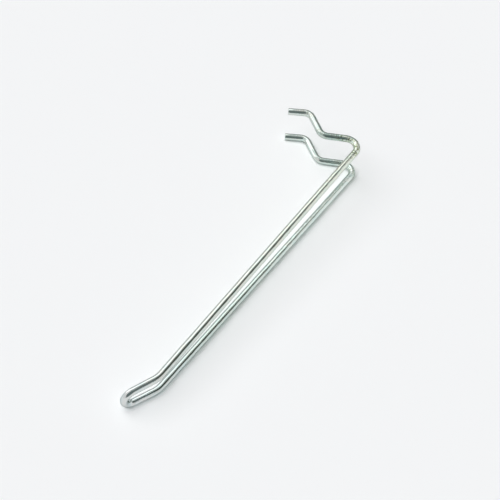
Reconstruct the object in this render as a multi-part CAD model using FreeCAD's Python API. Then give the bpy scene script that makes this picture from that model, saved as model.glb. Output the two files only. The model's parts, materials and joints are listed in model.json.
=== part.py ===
import FreeCAD, Part
import math
import os

# A two-peg wire hook for a perforated board, bent from one length of round steel wire.
# The frame is the hook as it hangs: the board's face is the plane Y = 0, the arms reach out
# towards -Y, +Z is up, and the origin lies midway between the two holes on the board's face.

# Wire and board
WIRE_D = 4.76           # thickness of the wire
PEG_PITCH = 25.4        # distance between the two pegs, which is the pitch of the board's holes

# Runs of the wire on its centre line, from corner to corner
PEG_LEN = 15.5          # up behind the board, from the last corner to the cut end
PASS_LEN = 22.5         # back through the hole
FRONT_LEN = 30.2        # down the face of the board
ARM_LEN = 234.0         # from the face of the board out to the bend of the tip
TIP_LEN = 16.8          # from the bend of the tip to the middle of the loop

# Slopes in degrees
PEG_LEAN = 4.0          # the peg leans this far towards the board
PASS_RISE = 26.0        # the run through the hole climbs this much towards the back
ARM_RISE = 28.0         # the arms climb this much towards the front
TIP_TURN = 22.0         # the tip turns up this much from the arms

# Bend radii on the centre line
PEG_BEND_R = 6.5        # behind the board, from the hole up into the peg
FRONT_BEND_R = 6.5      # in front of the board, from its face into the hole
REAR_BEND_R = 8.0       # at the foot of the board's face, out into the arm
TIP_BEND_R = 16.0       # where the tip turns up
LOOP_R = 6.25           # round the loop that joins the two arms

# Finish of the two cut ends
END_ROUND = 0.4         # the sheared edge is broken by this radius


def heading(degrees_up, towards):
    """Unit vector in the side view: climbs by an angle, towards the front (-1) or the back (+1)."""
    climb = math.radians(degrees_up)
    return FreeCAD.Vector(0, towards * math.cos(climb), math.sin(climb))


def offset_in_x(point, x):
    """The same point of the side view, moved sideways to x."""
    return FreeCAD.Vector(x, point.y, point.z)


# Corners of the wire in the side view, with the front run flat on the face of the board
FRONT = -1
BACK = 1
UPRIGHT = 90
wire_r = WIRE_D / 2
straight_up = FreeCAD.Vector(0, 0, 1)
front_top = FreeCAD.Vector(0, -wire_r, -wire_r * math.tan(math.radians(PASS_RISE)))
front_foot = front_top - straight_up * FRONT_LEN
pass_back = front_top + heading(PASS_RISE, BACK) * PASS_LEN
peg_end = pass_back + heading(UPRIGHT - PEG_LEAN, FRONT) * PEG_LEN
tip_corner = front_foot + heading(ARM_RISE, FRONT) * ARM_LEN
tip_heading = heading(ARM_RISE + TIP_TURN, FRONT)
loop_centre = tip_corner + tip_heading * TIP_LEN

# Spread of the arms: straight legs that leave the loop at a tangent and reach the peg pitch
half_pitch = PEG_PITCH / 2
leg_run = ARM_LEN + TIP_LEN
spread = math.atan2(half_pitch, leg_run) - math.asin(LOOP_R / math.hypot(half_pitch, leg_run))
half_at_tip = half_pitch - ARM_LEN * math.tan(spread)
half_at_loop = LOOP_R * math.cos(spread)
loop_start = loop_centre + tip_heading * (LOOP_R * math.sin(spread))
loop_top = loop_centre + tip_heading * LOOP_R


def leg_corners(side):
    """Corners of one leg from its cut end to the loop; side is +1 on the right, -1 on the left."""
    return [
        offset_in_x(peg_end, side * half_pitch),
        offset_in_x(pass_back, side * half_pitch),
        offset_in_x(front_top, side * half_pitch),
        offset_in_x(front_foot, side * half_pitch),
        offset_in_x(tip_corner, side * half_at_tip),
        offset_in_x(loop_start, side * half_at_loop),
    ]


BEND_RADII = [PEG_BEND_R, FRONT_BEND_R, REAR_BEND_R, TIP_BEND_R]


def bent_run(corners, radii):
    """Edges of straight runs through the corners, with a tangent arc in place of each inner corner."""
    edges = []
    start = corners[0]
    for before, corner, after, radius in zip(corners, corners[1:], corners[2:], radii):
        to_before = (before - corner).normalize()
        to_after = (after - corner).normalize()
        half_angle = to_before.getAngle(to_after) / 2
        reach = radius / math.tan(half_angle)
        to_middle = (to_before + to_after).normalize()
        arc_start = corner + to_before * reach
        arc_end = corner + to_after * reach
        arc_middle = corner + to_middle * (radius / math.sin(half_angle) - radius)
        edges.append(Part.LineSegment(start, arc_start).toShape())
        edges.append(Part.Arc(arc_start, arc_middle, arc_end).toShape())
        start = arc_end
    edges.append(Part.LineSegment(start, corners[-1]).toShape())
    return edges


# Centre line: down the right leg, round the loop and back along the left leg
right_leg = leg_corners(1)
left_leg = leg_corners(-1)
loop_arc = Part.Arc(right_leg[-1], loop_top, left_leg[-1]).toShape()
centre_edges = bent_run(right_leg, BEND_RADII)
centre_edges.append(loop_arc)
centre_edges.extend(bent_run(left_leg[::-1], BEND_RADII[::-1]))
centre_line = Part.Wire(centre_edges)

# The wire: a round section carried along the centre line, with both cut ends broken
cut_face = Part.makeCircle(wire_r, right_leg[0], right_leg[1] - right_leg[0])
hook_wire = centre_line.makePipeShell([Part.Wire(cut_face)], True, True)


def is_cut_edge(edge):
    """True for the round edge of either cut end."""
    middle = edge.BoundBox.Center
    ends = [right_leg[0], left_leg[0]]
    return edge.Length > WIRE_D and any(middle.distanceToPoint(end) < END_ROUND for end in ends)


cut_edges = [edge for edge in hook_wire.Edges if is_cut_edge(edge)]
hook_wire = hook_wire.makeFillet(END_ROUND, cut_edges)

section = math.pi * wire_r ** 2
print("centre line %.1f mm, section x length %.0f mm3, solid %.0f mm3" % (
    centre_line.Length, section * centre_line.Length, hook_wire.Volume))
print("valid %s, solids %d, faces %d" % (hook_wire.isValid(), len(hook_wire.Solids), len(hook_wire.Faces)))

os.makedirs("parts", exist_ok=True)
hook_wire.exportStep("parts/hook_wire.step")
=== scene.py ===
# %% [markdown]
# # A pegboard hook, bent from one wire
# The hook is a single length of zinc-plated steel wire: two pegs go through the holes of a board, two
# arms reach out, and a loop joins the arms at the tip. It is shown as it lies on a white table, on its
# left leg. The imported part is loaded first, and everything after it is placed in that part's own frame,
# in metres.

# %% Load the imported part
import json
import math

import bmesh
import bpy
from mathutils import Matrix, Vector


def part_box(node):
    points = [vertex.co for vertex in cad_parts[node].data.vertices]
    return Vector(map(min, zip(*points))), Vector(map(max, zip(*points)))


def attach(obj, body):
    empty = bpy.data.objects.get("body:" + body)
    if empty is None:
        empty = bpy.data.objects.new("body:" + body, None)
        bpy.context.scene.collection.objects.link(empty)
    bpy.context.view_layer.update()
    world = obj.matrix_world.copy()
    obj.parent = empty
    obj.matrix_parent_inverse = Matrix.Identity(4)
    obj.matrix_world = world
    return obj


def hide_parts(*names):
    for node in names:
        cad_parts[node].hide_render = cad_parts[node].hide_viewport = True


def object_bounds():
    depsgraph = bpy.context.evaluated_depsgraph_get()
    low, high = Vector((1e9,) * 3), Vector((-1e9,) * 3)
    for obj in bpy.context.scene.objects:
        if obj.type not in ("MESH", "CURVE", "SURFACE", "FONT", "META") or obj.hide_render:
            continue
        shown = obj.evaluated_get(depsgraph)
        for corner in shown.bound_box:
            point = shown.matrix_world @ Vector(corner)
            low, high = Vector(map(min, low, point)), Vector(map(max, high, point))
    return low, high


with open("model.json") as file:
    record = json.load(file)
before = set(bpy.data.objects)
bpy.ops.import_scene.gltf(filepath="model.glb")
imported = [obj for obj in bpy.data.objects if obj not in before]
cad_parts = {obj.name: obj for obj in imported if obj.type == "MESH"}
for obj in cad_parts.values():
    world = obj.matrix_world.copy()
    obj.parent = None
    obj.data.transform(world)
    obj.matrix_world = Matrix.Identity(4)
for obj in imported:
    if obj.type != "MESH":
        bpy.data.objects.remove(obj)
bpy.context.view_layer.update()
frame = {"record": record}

# %% [markdown]
# ## Sizes of the wire
# The thickness of the wire and the distance between the pegs are read from the part's mounts, so that the
# dressed wire can't drift away from them. The bends are the part's own: straight runs from corner to
# corner, with a round former in each corner. Writing the runs down as a bender would keeps the list
# short.

# %% Sizes of the wire
mounts = {mount["name"]: mount for mount in frame["record"]["mounts"]}
WIRE_R = mounts["peg_right"]["dims"]["r_mm"] / 1000
HALF_PITCH = mounts["peg_right"]["pos_m"][0]

PEG_LEN = 0.0155        # up behind the board, to the cut end
PASS_LEN = 0.0225       # through the hole
FRONT_LEN = 0.0302      # down the face of the board
ARM_LEN = 0.2340        # out to the bend of the tip
TIP_LEN = 0.0168        # from the bend of the tip to the middle of the loop
PEG_LEAN = 4.0          # degrees, towards the board
PASS_RISE = 26.0        # degrees, towards the back
ARM_RISE = 28.0         # degrees, towards the front
TIP_TURN = 22.0         # degrees, up from the arms
BEND_RADII = [0.0065, 0.0065, 0.0080, 0.0160]   # peg, hole, foot of the board and tip, on the centre line
LOOP_R = 0.00625        # round the loop, on the centre line
END_ROUND = 0.0004      # broken edge of the two cut ends

print("wire %.2f mm thick, pegs %.1f mm apart" % (2000 * WIRE_R, 2000 * HALF_PITCH))

# %% [markdown]
# ## Corners of the route
# A side view holds all the corners of one leg, because only the arms' slight spread leaves it. The spread
# follows from the loop: each leg is a straight line that meets the loop's circle at a tangent and is half
# the peg distance out at the board.

# %% Corners of the route
FRONT = -1
BACK = 1
UPRIGHT = 90


def heading(degrees_up, towards):
    climb = math.radians(degrees_up)
    return Vector((0, towards * math.cos(climb), math.sin(climb)))


front_top = Vector((0, -WIRE_R, -WIRE_R * math.tan(math.radians(PASS_RISE))))
front_foot = front_top + heading(-UPRIGHT, FRONT) * FRONT_LEN
pass_back = front_top + heading(PASS_RISE, BACK) * PASS_LEN
peg_end = pass_back + heading(UPRIGHT - PEG_LEAN, FRONT) * PEG_LEN
tip_corner = front_foot + heading(ARM_RISE, FRONT) * ARM_LEN
tip_heading = heading(ARM_RISE + TIP_TURN, FRONT)
loop_centre = tip_corner + tip_heading * TIP_LEN

leg_run = ARM_LEN + TIP_LEN
spread = math.atan2(HALF_PITCH, leg_run) - math.asin(LOOP_R / math.hypot(HALF_PITCH, leg_run))
half_at_tip = HALF_PITCH - ARM_LEN * math.tan(spread)
loop_start = loop_centre + tip_heading * (LOOP_R * math.sin(spread))


def leg_corners(side):
    places = [(peg_end, HALF_PITCH), (pass_back, HALF_PITCH), (front_top, HALF_PITCH),
              (front_foot, HALF_PITCH), (tip_corner, half_at_tip), (loop_start, LOOP_R * math.cos(spread))]
    return [Vector((side * half, point.y, point.z)) for point, half in places]


print("each arm closes in by %.2f degrees" % math.degrees(spread))

# %% [markdown]
# ## The steps of the bender
# A wire is made by two moves, repeated: feed it straight, or turn it about a former. The route becomes a
# list of those moves, so that the mesh can be made in the same order: a ring of vertices is fed along a
# run by extruding it, and turned about a bend's axis by spinning it. Each turn also says how much its
# former marks the plating: a sharp bend is marked all over, and the loop hardly at all.

# %% The steps of the bender
FULL_MARKS = math.radians(110)      # a bend of this angle is marked all over, a lesser one in proportion
RIGHT_MARKS = 1.0       # the right leg came off the formers rougher than the left one
LEFT_MARKS = 0.6
LOOP_MARKS = 0.15       # the loop is drawn round a smooth pin


def feed(vector):
    return {"kind": "feed", "vector": vector, "length": vector.length}


def turn(centre, axis, angle, radius, marks):
    return {"kind": "turn", "centre": centre, "axis": axis, "angle": angle, "length": radius * angle,
            "marks": marks}


def leg_moves(corners, radii, most_marks):
    moves = []
    here = corners[0]
    for before, corner, after, radius in zip(corners, corners[1:], corners[2:], radii):
        coming = (corner - before).normalized()
        going = (after - corner).normalized()
        angle = coming.angle(going)
        axis = coming.cross(going).normalized()
        reach = radius * math.tan(angle / 2)
        arc_start = corner - coming * reach
        centre = arc_start + axis.cross(coming) * radius
        moves.append(feed(arc_start - here))
        moves.append(turn(centre, axis, angle, radius, most_marks * min(1, angle / FULL_MARKS)))
        here = corner + going * reach
    moves.append(feed(corners[-1] - here))
    return moves


right_leg = leg_corners(1)
left_leg = leg_corners(-1)
loop_axis = tip_heading.cross(Vector((-1, 0, 0)))
moves = leg_moves(right_leg, BEND_RADII, RIGHT_MARKS)
moves.append(turn(loop_centre, loop_axis, math.pi - 2 * spread, LOOP_R, LOOP_MARKS))
moves.extend(leg_moves(left_leg[::-1], BEND_RADII[::-1], LEFT_MARKS))
wire_length = sum(move["length"] for move in moves)
print("%d moves lay %.1f mm of wire" % (len(moves), 1000 * wire_length))

# %% [markdown]
# ## Laying the rings
# Every ring keeps two notes in its vertices. The first is where that point was on the straight wire,
# before it was bent, so that a pattern can run along the wire and has no seam. The second is how much the
# bending marked it, which is most in the bends and fades into the straight runs. An extrude or a spin
# copies the notes of the ring that it starts from, so only the distance along the wire and the marks have
# to be written again.

# %% Laying the rings
RING_SIDES = 48
RUN_STEP = 0.0045       # most that a straight run goes without a ring
BEND_STEP = math.radians(6)
MARK_REACH = 0.020      # how far the formers' marks fade into the straight runs

wire = bmesh.new()
on_straight_wire = wire.verts.layers.float_vector.new("straight_wire")
bend_marks = wire.verts.layers.float.new("bend_marks")


def first_ring(centre, along):
    place = Matrix.Translation(centre) @ along.to_track_quat("Z", "Y").to_matrix().to_4x4()
    made = bmesh.ops.create_circle(wire, radius=WIRE_R, segments=RING_SIDES, matrix=place)
    for vert in made["verts"]:
        flat = place.inverted() @ vert.co
        vert[on_straight_wire] = (flat.x, flat.y, 0)
    return made["verts"], list({edge for vert in made["verts"] for edge in vert.link_edges})


def ring_of(geometry):
    verts = [item for item in geometry if isinstance(item, bmesh.types.BMVert)]
    edges = [item for item in geometry if isinstance(item, bmesh.types.BMEdge)]
    return verts, [edge for edge in edges if all(vert in verts for vert in edge.verts)]


def fed_ring(ring, vector):
    made = bmesh.ops.extrude_edge_only(wire, edges=ring[1])
    verts, edges = ring_of(made["geom"])
    bmesh.ops.translate(wire, verts=verts, vec=vector)
    return verts, edges


def turned_ring(ring, move, angle):
    made = bmesh.ops.spin(wire, geom=ring[0] + ring[1], cent=move["centre"], axis=move["axis"],
                          angle=angle, steps=1)
    return ring_of(made["geom_last"])


def write_notes(ring, along, marks):
    for vert in ring[0]:
        place = vert[on_straight_wire]
        vert[on_straight_wire] = (place.x, place.y, along)
        vert[bend_marks] = marks


def marks_at(number):
    return moves[number]["marks"] if 0 <= number < len(moves) else 0


print("rings of %d sides, at most %.1f mm apart" % (RING_SIDES, 1000 * RUN_STEP))

# %% [markdown]
# ## Sweeping the wire
# The sweep starts as a circle at the right peg's cut end and follows the moves to the left peg's. A curve
# with a round bevel would look alike at first, but its vertices carry no notes of the straight wire, and
# its bends would be a spline's and not true arcs of a former.

# %% Sweep the wire
start_ring = first_ring(right_leg[0], right_leg[1] - right_leg[0])
write_notes(start_ring, 0, 0)
ring = start_ring
laid = 0
for number, move in enumerate(moves):
    if move["kind"] == "turn":
        count = math.ceil(move["angle"] / BEND_STEP)
    else:
        count = math.ceil(move["length"] / RUN_STEP)
    for step in range(1, count + 1):
        done = move["length"] * step / count
        if move["kind"] == "turn":
            ring = turned_ring(ring, move, move["angle"] / count)
            marks = move["marks"]
        else:
            ring = fed_ring(ring, move["vector"] / count)
            fading = (1 - done / MARK_REACH) * marks_at(number - 1)
            growing = (1 - (move["length"] - done) / MARK_REACH) * marks_at(number + 1)
            marks = max(0, fading, growing)
        write_notes(ring, laid + done, marks)
    laid += move["length"]
end_ring = ring
end_miss = sum((vert.co for vert in end_ring[0]), Vector()) / RING_SIDES - left_leg[0]
print("the sweep ends %.4f mm from the left peg's cut end" % (1000 * end_miss.length))

# %% [markdown]
# ## Cut ends
# The wire was sheared off at both pegs. Each open ring gets one face, and a small bevel breaks its sharp
# rim, as the cutter and the plating bath leave it. A cap of triangles would pinch at its middle, so the
# cut stays one flat face.

# %% Cut ends
for open_ring in (start_ring, end_ring):
    bmesh.ops.edgeloop_fill(wire, edges=open_ring[1])
rims = start_ring[1] + end_ring[1]
bmesh.ops.bevel(wire, geom=rims, offset=END_ROUND, affect="EDGES", segments=3, profile=0.5, material=-1)
bmesh.ops.recalc_face_normals(wire, faces=wire.faces)
print("%d faces, %d open edges" % (len(wire.faces), sum(edge.is_boundary for edge in wire.edges)))

# %% [markdown]
# ## One piece
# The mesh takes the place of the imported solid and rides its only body. The sides are shaded smooth, and
# the two cuts stay flat. Both boxes are compared, because the dressed wire may neither grow nor move.

# %% Make the wire a piece
wire_mesh = bpy.data.meshes.new("plated_wire")
for face in wire.faces:
    face.smooth = len(face.verts) <= 4
wire.to_mesh(wire_mesh)
wire.free()
plated_wire = bpy.data.objects.new("plated_wire", wire_mesh)
bpy.context.scene.collection.objects.link(plated_wire)
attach(plated_wire, "root")
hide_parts("hook_wire")
node_low, node_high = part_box("hook_wire")
wire_low, wire_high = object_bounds()
print("low corner off by %.3f mm, high corner by %.3f mm" % (
    1000 * (wire_low - node_low).length, 1000 * (wire_high - node_high).length))

# %% [markdown]
# ## Zinc plate
# Bright zinc is a nearly mirror-like metal under a thin clear film. It could be one glossy colour, but
# then it would look like plastic: the real one has lines, wrinkles and tints that follow the wire. So all
# its patterns read the rings' notes. The specular tint sets how much the metal mirrors at a grazing angle.
# It is darker here than bare metal has it, because that draws the thin dark line along both edges:
# painted shade at a grazing angle.

# %% Zinc plate
EDGE_TINT = (0.35, 0.38, 0.36, 1)


def add(tree, kind, **settings):
    node = tree.nodes.new(kind)
    for name, value in settings.items():
        setattr(node, name, value)
    return node


zinc = bpy.data.materials.new("bright_zinc_plate")
zinc.use_nodes = True
plate = zinc.node_tree
metal = plate.nodes["Principled BSDF"]
metal.inputs["Metallic"].default_value = 1.0
metal.inputs["Specular Tint"].default_value = EDGE_TINT
plated_wire.data.materials.append(zinc)

place = add(plate, "ShaderNodeAttribute", attribute_name="straight_wire").outputs["Vector"]
bent = add(plate, "ShaderNodeAttribute", attribute_name="bend_marks").outputs["Fac"]
print("the zinc plate reads %d notes of the rings" % sum(node.type == "ATTRIBUTE" for node in plate.nodes))

# %% [markdown]
# ## Relief of the wire
# Drawing leaves fine lines, so that noise is stretched along the wire until it is streaks. Slow waves
# make the mirrored edges wander, as they do on a wire that was straightened between rollers. The formers
# leave wrinkles across the bends, weighed by the rings' second note. Together they are the height of one
# Bump node: they are only tenths of a millimetre deep, too fine to be worth faces.

# %% Noise along the wire


def put(tree, value, socket):
    """Links a value that comes from a node, and sets one that is constant."""
    if isinstance(value, bpy.types.NodeSocket):
        tree.links.new(value, socket)
    else:
        socket.default_value = value


def noise_on_wire(stretch, scale, detail, roughness=0.5):
    mapping = add(plate, "ShaderNodeMapping")
    put(plate, place, mapping.inputs["Vector"])
    put(plate, stretch, mapping.inputs["Scale"])
    texture = add(plate, "ShaderNodeTexNoise")
    put(plate, mapping.outputs["Vector"], texture.inputs["Vector"])
    put(plate, scale, texture.inputs["Scale"])
    put(plate, detail, texture.inputs["Detail"])
    put(plate, roughness, texture.inputs["Roughness"])
    return texture.outputs["Fac"]


draw_lines = noise_on_wire(stretch=(1, 1, 0.006), scale=3600, detail=2)
wrinkles = noise_on_wire(stretch=(0.35, 0.35, 1), scale=1100, detail=2)
slow_waves = noise_on_wire(stretch=(1, 1, 0.5), scale=240, detail=1)
print("three patterns of noise in %d nodes" % len(plate.nodes))

# %% Relief of the wire
BUMP_UNIT = 0.0001      # the three depths below are in tenths of a millimetre
LINE_DEPTH = 0.05
WRINKLE_DEPTH = 3.0
WAVE_DEPTH = 2.6
SMOOTHEST = 0.07        # roughness of the plate between the lines, and in them
ROUGHEST = 0.12


def calculate(tree, operation, first, second):
    node = add(tree, "ShaderNodeMath", operation=operation)
    put(tree, first, node.inputs[0])
    put(tree, second, node.inputs[1])
    return node.outputs["Value"]


def ranged(tree, value, from_low, from_high, to_low=0, to_high=1, interpolation="LINEAR"):
    node = add(tree, "ShaderNodeMapRange", interpolation_type=interpolation)
    put(tree, value, node.inputs["Value"])
    put(tree, from_low, node.inputs["From Min"])
    put(tree, from_high, node.inputs["From Max"])
    put(tree, to_low, node.inputs["To Min"])
    put(tree, to_high, node.inputs["To Max"])
    return node.outputs["Result"]


bend_relief = calculate(plate, "MULTIPLY", calculate(plate, "MULTIPLY", wrinkles, bent), WRINKLE_DEPTH)
line_relief = calculate(plate, "MULTIPLY", draw_lines, LINE_DEPTH)
wave_relief = calculate(plate, "MULTIPLY", slow_waves, WAVE_DEPTH)
height = calculate(plate, "ADD", calculate(plate, "ADD", bend_relief, line_relief), wave_relief)
bump = add(plate, "ShaderNodeBump")
put(plate, 1.0, bump.inputs["Strength"])
put(plate, BUMP_UNIT, bump.inputs["Distance"])
put(plate, height, bump.inputs["Height"])
put(plate, bump.outputs["Normal"], metal.inputs["Normal"])
roughness = ranged(plate, draw_lines, from_low=0.3, from_high=0.7, to_low=SMOOTHEST, to_high=ROUGHEST)
put(plate, roughness, metal.inputs["Roughness"])
print("relief of lines, wrinkles and waves in %d nodes" % len(plate.nodes))

# %% [markdown]
# ## Tints of the film, with painted shade and reflection
# The film is thinner in some places than in others, and its tint wanders from teal to straw. A colour
# ramp along the wire holds the tints, blotches push it back and forth, so that no tint ends in a line,
# and a finer noise lets it shimmer a little from cool to warm. The ramp's stops also differ in lightness,
# which is set run by run to how bright each run looks. So besides the film's tints they hold painted
# shade and painted reflection, and the darkest stop, the dull teal on the right front run, is painted
# shade.
# The formers rubbed the film in the sharp bends, which shows as short olive dashes: they are the
# wrinkles again, cut off at a level and multiplied over the tint.

# %% Tints of the film, with painted shade and reflection
GREY = (0.70, 0.74, 0.72)
BLUISH = (0.70, 0.74, 0.76)
TEAL = (0.62, 0.70, 0.67)
DULL_TEAL = (0.48, 0.58, 0.56)
STRAW = (0.78, 0.82, 0.75)
PALE_STRAW = (0.84, 0.88, 0.79)
PALE = (0.80, 0.87, 0.84)
# Besides the film's tints, the stops' lightness is painted shade and painted reflection, set run by run.
FILM_TINTS_AND_SHADE = [          # share of the wire's length, from the right peg to the left, and the tint there
    (0.03, GREY),           # right peg
    (0.07, DULL_TEAL),      # right front run
    (0.10, PALE_STRAW),     # right rear bend
    (0.20, STRAW),          # right arm by the board
    (0.44, GREY),           # right arm by the tip
    (0.50, BLUISH),         # loop
    (0.62, TEAL),           # left arm by the tip
    (0.89, PALE),           # left arm by the board
    (0.93, TEAL),           # left front run
    (0.96, GREY),           # left run through the board
    (1.00, TEAL),           # left peg
]
TINT_WANDER = 0.03      # how far the blotches push a tint, as a share of the length
SHIMMER_COOL = (0.95, 1.01, 1.0)
SHIMMER_WARM = (1.03, 0.99, 0.96)
MARK_TONE = (0.40, 0.43, 0.25)
MARK_STRENGTH = 0.8


def mixed_colour(tree, share, under, over, blend_type="MIX"):
    node = add(tree, "ShaderNodeMix", data_type="RGBA", blend_type=blend_type)
    under_socket, over_socket = [socket for socket in node.inputs if socket.type == "RGBA"]
    put(tree, share, node.inputs[0])
    put(tree, under, under_socket)
    put(tree, over, over_socket)
    return next(socket for socket in node.outputs if socket.type == "RGBA")


along = add(plate, "ShaderNodeSeparateXYZ")
put(plate, place, along.inputs["Vector"])
blotches = noise_on_wire(stretch=(1, 1, 0.35), scale=420, detail=4, roughness=0.6)
wander = ranged(plate, blotches, from_low=0.2, from_high=0.8, to_low=-TINT_WANDER, to_high=TINT_WANDER)
share = calculate(plate, "ADD", calculate(plate, "DIVIDE", along.outputs["Z"], wire_length), wander)
tint = add(plate, "ShaderNodeValToRGB")
put(plate, share, tint.inputs["Fac"])
stops = tint.color_ramp.elements
while len(stops) < len(FILM_TINTS_AND_SHADE):
    stops.new(1.0)
for stop, (position, colour) in zip(stops, FILM_TINTS_AND_SHADE):
    stop.position = position
    stop.color = (*colour, 1)

fine_blotches = noise_on_wire(stretch=(1, 1, 0.5), scale=350, detail=3, roughness=0.6)
thickness = ranged(plate, fine_blotches, from_low=0.36, from_high=0.64)
shimmer = mixed_colour(plate, thickness, (*SHIMMER_COOL, 1), (*SHIMMER_WARM, 1))
# The ramp's tints with their painted shade and reflection, times the shimmer.
tint_and_shade = mixed_colour(plate, 1.0, tint.outputs["Color"], shimmer, "MULTIPLY")
in_the_bend = ranged(plate, bent, from_low=0.45, from_high=0.85, to_high=MARK_STRENGTH)
crests = ranged(plate, wrinkles, from_low=0.50, from_high=0.58)
dashes = calculate(plate, "MULTIPLY", crests, in_the_bend)
dashed_tint_and_shade = mixed_colour(plate, dashes, tint_and_shade, (*MARK_TONE, 1), "MULTIPLY")
put(plate, dashed_tint_and_shade, metal.inputs["Base Color"])
print("%d tints along the wire, %d nodes in all" % (len(stops), len(plate.nodes)))

# %% [markdown]
# ## The table
# The hook lies on three points: its left peg, the bend at the foot of its left leg and the side of its
# loop. The convex hull of the wire has one large facet through those points, so that facet gives the
# table's plane with no guess. The table is drawn on its upper side only, because other views look up from
# below it. A ray that has come through it from below doesn't meet it again, so the wire's underside
# doesn't mirror it either.

# %% Find the table's plane
SIDE_FACING = -0.99     # a facet of the hook's left side faces -X at least this much

hull = bmesh.new()
hull.from_mesh(wire_mesh)
bmesh.ops.convex_hull(hull, input=hull.verts)
side_facets = [face for face in hull.faces if face.normal.x < SIDE_FACING]
rest_facet = max(side_facets, key=lambda face: face.calc_area())
table_up = -rest_facet.normal
table_point = rest_facet.calc_center_median()
hull.free()
print("the table leans %.2f degrees from the hook's side" % math.degrees(table_up.angle(Vector((1, 0, 0)))))

# %% Lay the table
TABLE_HALF = 4.0

table_frame = Matrix.Translation(table_point) @ table_up.to_track_quat("Z", "Y").to_matrix().to_4x4()
top = bmesh.new()
bmesh.ops.create_grid(top, x_segments=1, y_segments=1, size=TABLE_HALF, matrix=table_frame)
table_mesh = bpy.data.meshes.new("table_top")
top.to_mesh(table_mesh)
top.free()
table_top = bpy.data.objects.new("table_top", table_mesh)
bpy.context.scene.collection.objects.link(table_top)
print("table normal", [round(x, 3) for x in table_mesh.polygons[0].normal])

# %% Paint the table
TABLE_TONE = (0.900, 0.910, 0.920)

white = bpy.data.materials.new("white_table")
white.use_nodes = True
paint = white.node_tree
paint.nodes.remove(paint.nodes["Principled BSDF"])
matt = add(paint, "ShaderNodeBsdfDiffuse")
put(paint, (*TABLE_TONE, 1), matt.inputs["Color"])
clear = add(paint, "ShaderNodeBsdfTransparent")
back = add(paint, "ShaderNodeNewGeometry").outputs["Backfacing"]
passed = add(paint, "ShaderNodeLightPath").outputs["Transparent Depth"]
one_side = add(paint, "ShaderNodeMixShader")
put(paint, calculate(paint, "MAXIMUM", back, passed), one_side.inputs["Fac"])
put(paint, matt.outputs["BSDF"], one_side.inputs[1])
put(paint, clear.outputs["BSDF"], one_side.inputs[2])
put(paint, one_side.outputs["Shader"], paint.nodes["Material Output"].inputs["Surface"])
table_mesh.materials.append(white)
print("the table is white from above and clear from below")

# %% [markdown]
# ## Camera
# The camera looks down on the table at about fifty degrees, from beyond the tip of the hook. It could be
# aimed with a constraint, but its eye, the direction that it looks in and the one that is upright in the
# picture were fitted to the bends of the real hook, so they are set as they are.

# %% Camera
EYE = Vector((0.5592, -0.5423, 0.0232))
LOOK = Vector((-0.7848, 0.6194, 0.0191))
PICTURE_UP = Vector((0.6162, 0.7766, 0.1311))
LENS_MM = 79.26
SENSOR_MM = 36.0

look = LOOK.normalized()
picture_right = look.cross(PICTURE_UP).normalized()
picture_up = picture_right.cross(look)
camera = bpy.data.objects.new("camera", bpy.data.cameras.new("camera"))
camera.data.lens = LENS_MM
camera.data.sensor_width = SENSOR_MM
turned = Matrix((picture_right, picture_up, -look)).transposed()
camera.matrix_world = Matrix.Translation(EYE) @ turned.to_4x4()
bpy.context.scene.collection.objects.link(camera)
bpy.context.scene.camera = camera
print("the camera looks down at %.1f degrees" % math.degrees(math.asin(-look.dot(table_up))))

# %% [markdown]
# ## Soft light
# Bright metal has hardly any look of its own: it shows the room. So the room comes in two parts. This
# first part is a wide soft light from the upper left, which falls on the table and gives the wire its
# shadow. A sun with a wide angle is enough for that. The wire doesn't mirror it, because the second part
# holds what it does.

# %% Directions on the table
table_away = (look - table_up * look.dot(table_up)).normalized()
table_right = table_away.cross(table_up)


def from_table(bearing, height):
    """Direction at a bearing in degrees, clockwise from straight away, and a height above the table."""
    bearing = math.radians(bearing)
    height = math.radians(height)
    level = table_right * math.sin(bearing) + table_away * math.cos(bearing)
    return level * math.cos(height) + table_up * math.sin(height)


print("away on the table is", [round(x, 2) for x in table_away])

# %% Soft light
SOFT_BEARING = -85
SOFT_HEIGHT = 62
SOFT_WIDTH = 66
SOFT_STRENGTH = 2.32

soft = bpy.data.lights.new("soft_light", "SUN")
soft.energy = SOFT_STRENGTH
soft.angle = math.radians(SOFT_WIDTH)
soft_light = bpy.data.objects.new("soft_light", soft)
soft_light.matrix_world = from_table(SOFT_BEARING, SOFT_HEIGHT).to_track_quat("Z", "Y").to_matrix().to_4x4()
soft_light.visible_glossy = False
bpy.context.scene.collection.objects.link(soft_light)
print("soft light %d degrees wide, %d degrees above the table" % (SOFT_WIDTH, SOFT_HEIGHT))

# %% [markdown]
# ## What the wire mirrors
# The second part of the room is a tent that only the wire sees: a sphere that glows in one pale tone,
# with soft round patches on it. A patch needs a direction, an angle within which it is full, an angle
# beyond which it is gone, and a tone, so each is a dot product and a ramp. Area lights could stand for
# the bright patches, but not for the dark corners that give the metal its lines. The patches below the
# table are for views from beneath.

# %% Hang the tent
TENT_R = 1.2

sphere = bmesh.new()
bmesh.ops.create_icosphere(sphere, subdivisions=4, radius=TENT_R)
tent_mesh = bpy.data.meshes.new("reflection_tent")
sphere.to_mesh(tent_mesh)
sphere.free()
tent = bpy.data.objects.new("reflection_tent", tent_mesh)
tent.location = table_point
bpy.context.scene.collection.objects.link(tent)
for kind in ("camera", "diffuse", "transmission", "shadow", "volume_scatter"):
    setattr(tent, "visible_" + kind, False)
print("the tent is seen by reflections only:", tent.visible_glossy)

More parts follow.
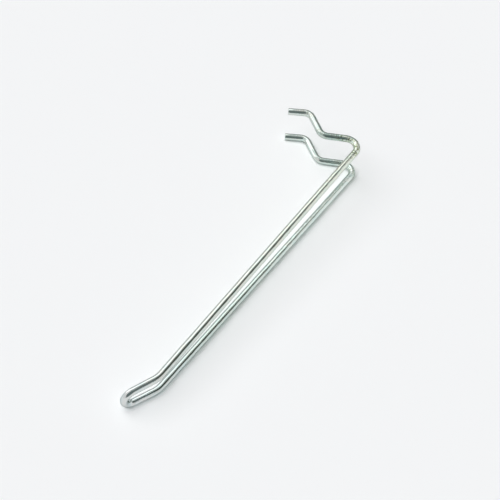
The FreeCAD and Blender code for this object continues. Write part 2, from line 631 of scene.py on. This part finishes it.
# %% Patches on the tent
WALL_TONE = (0.81, 0.815, 0.82)
PATCHES = {             # bearing, height, full within and gone beyond, in degrees, and the tone
    "side corner": (50, 55, 5, 15, (0.13, 0.15, 0.14)),
    "side window": (85, 5, 10, 25, (0.95, 0.95, 0.96)),
    "far wall": (-10, 5, 30, 50, (0.45, 0.47, 0.47)),
    "ceiling": (80, 85, 20, 30, (0.46, 0.48, 0.47)),
    "side wall": (100, 55, 15, 30, (0.09, 0.10, 0.09)),
    "camera side": (175, 40, 35, 40, (0.16, 0.19, 0.19)),
    "window": (-35, 50, 20, 25, (1.50, 1.50, 1.50)),
    "lower window": (-65, 30, 15, 25, (1.60, 1.60, 1.60)),
    "far corner": (20, 20, 10, 25, (0.30, 0.32, 0.31)),
    "doorway": (50, 0, 10, 20, (0.30, 0.33, 0.32)),
    "floor below": (60, -70, 20, 40, (0.22, 0.25, 0.24)),
    "far floor": (-100, -45, 10, 25, (0.14, 0.16, 0.15)),
    "low window": (175, -55, 10, 20, (1.40, 1.40, 1.40)),
}

cloth = bpy.data.materials.new("tent_cloth")
cloth.use_nodes = True
weave = cloth.node_tree
weave.nodes.remove(weave.nodes["Principled BSDF"])
tent_mesh.materials.append(cloth)
outwards = add(weave, "ShaderNodeVectorMath", operation="NORMALIZE")
put(weave, add(weave, "ShaderNodeTexCoord").outputs["Object"], outwards.inputs[0])


def patch_share(direction, full, gone):
    """1 within an angle of the direction, and 0 beyond a wider one."""
    closeness = add(weave, "ShaderNodeVectorMath", operation="DOT_PRODUCT")
    put(weave, outwards.outputs["Vector"], closeness.inputs[0])
    put(weave, direction, closeness.inputs[1])
    at_edge = math.cos(math.radians(gone))
    inside = math.cos(math.radians(full))
    return ranged(weave, closeness.outputs["Value"], at_edge, inside, interpolation="SMOOTHSTEP")


seen_tone = (*WALL_TONE, 1)
for bearing, height, full, gone, tone in PATCHES.values():
    here = patch_share(from_table(bearing, height), full, gone)
    seen_tone = mixed_colour(weave, here, seen_tone, (*tone, 1))
print("the tent shows %d patches on a pale wall" % len(PATCHES))

# %% [markdown]
# ## Light that the wire passes on
# A bright wire hands most of the light that it blocks on to the table, so that its shadow is dark only
# where the two touch. Followed ray by ray, such light takes thousands of samples to settle. So a ray that
# left the table and met the wire sees one even glow in place of the patches, which gives the narrow
# shadow without noise.

# %% Light that the wire passes on
TABLE_FILL = 2.8

left_the_table = calculate(weave, "MINIMUM", add(weave, "ShaderNodeLightPath").outputs["Diffuse Depth"], 1)
glow = add(weave, "ShaderNodeEmission")
even_glow = (TABLE_FILL, TABLE_FILL, TABLE_FILL, 1)
put(weave, mixed_colour(weave, left_the_table, seen_tone, even_glow), glow.inputs["Color"])
put(weave, glow.outputs["Emission"], weave.nodes["Material Output"].inputs["Surface"])
print("the tent's cloth has %d nodes" % len(weave.nodes))

# %% [markdown]
# ## Pale surroundings
# The world is one pale tone wherever it is seen, directly or in the metal. The even glow that it gives to
# the table is set apart from that tone, so the background stays pale without more light on the hook.

# %% Pale surroundings
ROOM_TONE = (0.86, 0.865, 0.87)
ROOM_GLOW = 0.35

world = bpy.data.worlds.new("pale_room")
bpy.context.scene.world = world
world.use_nodes = True
room = world.node_tree
seen = room.nodes["Background"]
put(room, (*ROOM_TONE, 1), seen.inputs["Color"])
ambient = add(room, "ShaderNodeBackground")
put(room, (1, 1, 1, 1), ambient.inputs["Color"])
put(room, ROOM_GLOW, ambient.inputs["Strength"])
ray = add(room, "ShaderNodeLightPath").outputs
in_view = calculate(room, "MAXIMUM", ray["Is Camera Ray"], ray["Is Glossy Ray"])
which = add(room, "ShaderNodeMixShader")
put(room, calculate(room, "MAXIMUM", in_view, ray["Is Transmission Ray"]), which.inputs["Fac"])
put(room, ambient.outputs["Background"], which.inputs[1])
put(room, seen.outputs["Background"], which.inputs[2])
put(room, which.outputs["Shader"], room.nodes["World Output"].inputs["Surface"])
print("room tone", ROOM_TONE, "and a glow of", ROOM_GLOW)

# %% [markdown]
# ## Finish
# The plain view transform keeps the pale room pale, where a filmic one would grey it.

# %% Finish
bpy.context.scene.view_settings.view_transform = "Standard"
